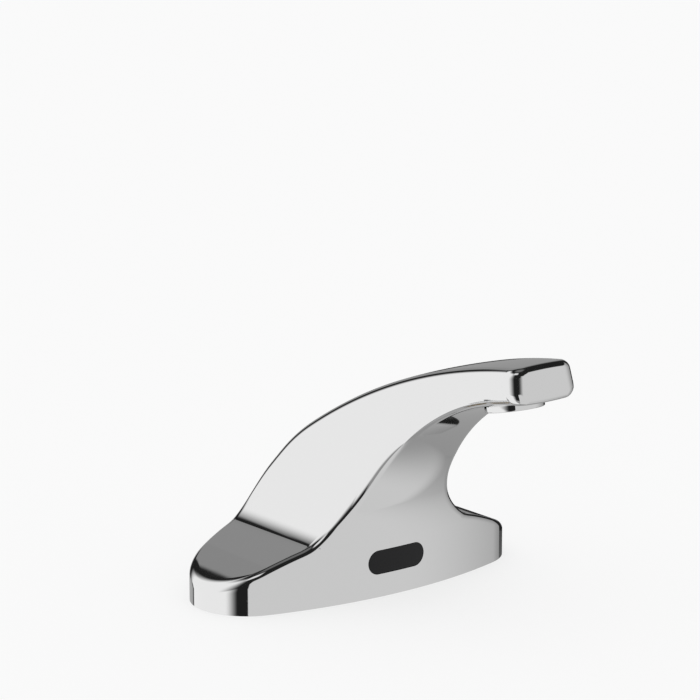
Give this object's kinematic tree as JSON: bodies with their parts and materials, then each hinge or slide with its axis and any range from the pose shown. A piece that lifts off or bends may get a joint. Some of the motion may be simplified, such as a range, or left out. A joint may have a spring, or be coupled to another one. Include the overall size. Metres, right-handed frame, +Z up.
{
  "type": "sensor tap",
  "caption": "Deck-mounted touchless sensor tap: hollow cast body on an oval base, curved neck rising to a slim forward spout, infrared window low in front, outlet under the tip.",
  "frame": {"origin": "middle of the base on the top of the deck, under the gasket", "axes": "+Z up, -Y the way the spout points, +X to the right seen from the back"},
  "size_m": [0.1524, 0.1564, 0.1744],
  "materials": {
    "chromed_brass": "polished bright chrome plate",
    "window_plastic": "deep black, see-through to infrared only",
    "black_rubber": "smooth moulded black",
    "black_plastic": "moulded matt black",
    "white_plastic": "moulded off-white",
    "board": "green glass-fibre board",
    "clear_lens": "clear moulded lens",
    "dark_lens": "dark tinted lens",
    "brass": "turned brass",
    "copper": "drawn copper",
    "copper_wire": "enamelled copper wire",
    "stainless": "stamped stainless steel",
    "zinc_steel": "bright zinc plate"
  },
  "bodies": {
    "tap": {"body_casting": "chromed_brass", "sensor_window": "window_plastic", "window_gasket": "black_rubber", "sensor_housing": "black_plastic", "circuit_board": "board", "infrared_emitters": "clear_lens", "infrared_receiver": "dark_lens", "light_divider": "black_plastic", "cable_boot": "black_rubber", "sensor_bracket": "stainless", "bracket_screws": "zinc_steel", "water_tube": "copper", "tube_o_rings": "black_rubber", "outlet_bush": "brass", "aerator_housing": "chromed_brass", "aerator_washer": "black_rubber", "aerator_cage": "white_plastic", "aerator_screens": "stainless", "flow_regulator": "white_plastic", "spray_face": "white_plastic", "valve_body": "brass", "valve_diaphragm": "black_rubber", "valve_bonnet": "white_plastic", "bonnet_screws": "zinc_steel", "core_tube": "stainless", "plunger_spring": "stainless", "coil_bobbin": "black_plastic", "coil_winding": "copper_wire", "coil_yoke": "zinc_steel", "coil_clip": "stainless", "inlet_shank": "brass", "inlet_o_ring": "black_rubber", "inlet_filter": "stainless", "shank_washer": "zinc_steel", "shank_nut": "brass", "base_plate": "stainless", "plate_screws": "zinc_steel", "cable_grommet": "black_rubber", "deck_gasket": "black_rubber", "mounting_studs": "zinc_steel", "stud_washers": "zinc_steel", "stud_nuts": "zinc_steel"},
    "plunger": {"plunger": "stainless", "plunger_seal": "black_rubber"},
    "poppet": {"main_poppet": "white_plastic"}
  },
  "joints": [
    {"name": "plunger_slide", "type": "slide", "parent": "tap", "child": "plunger", "axis": [0, 0, 1], "range_m": [0, 0.0018], "stiffness_N_per_m": 300, "springref_m": -0.004, "deforming": ["plunger_spring"]},
    {"name": "poppet_slide", "type": "slide", "parent": "tap", "child": "poppet", "axis": [0, 0, 1], "range_m": [0, 0.0012]}
  ],
  "couplings": [
    {"joint": "poppet_slide", "follows": "plunger_slide", "ratio": 0.6666}
  ]
}
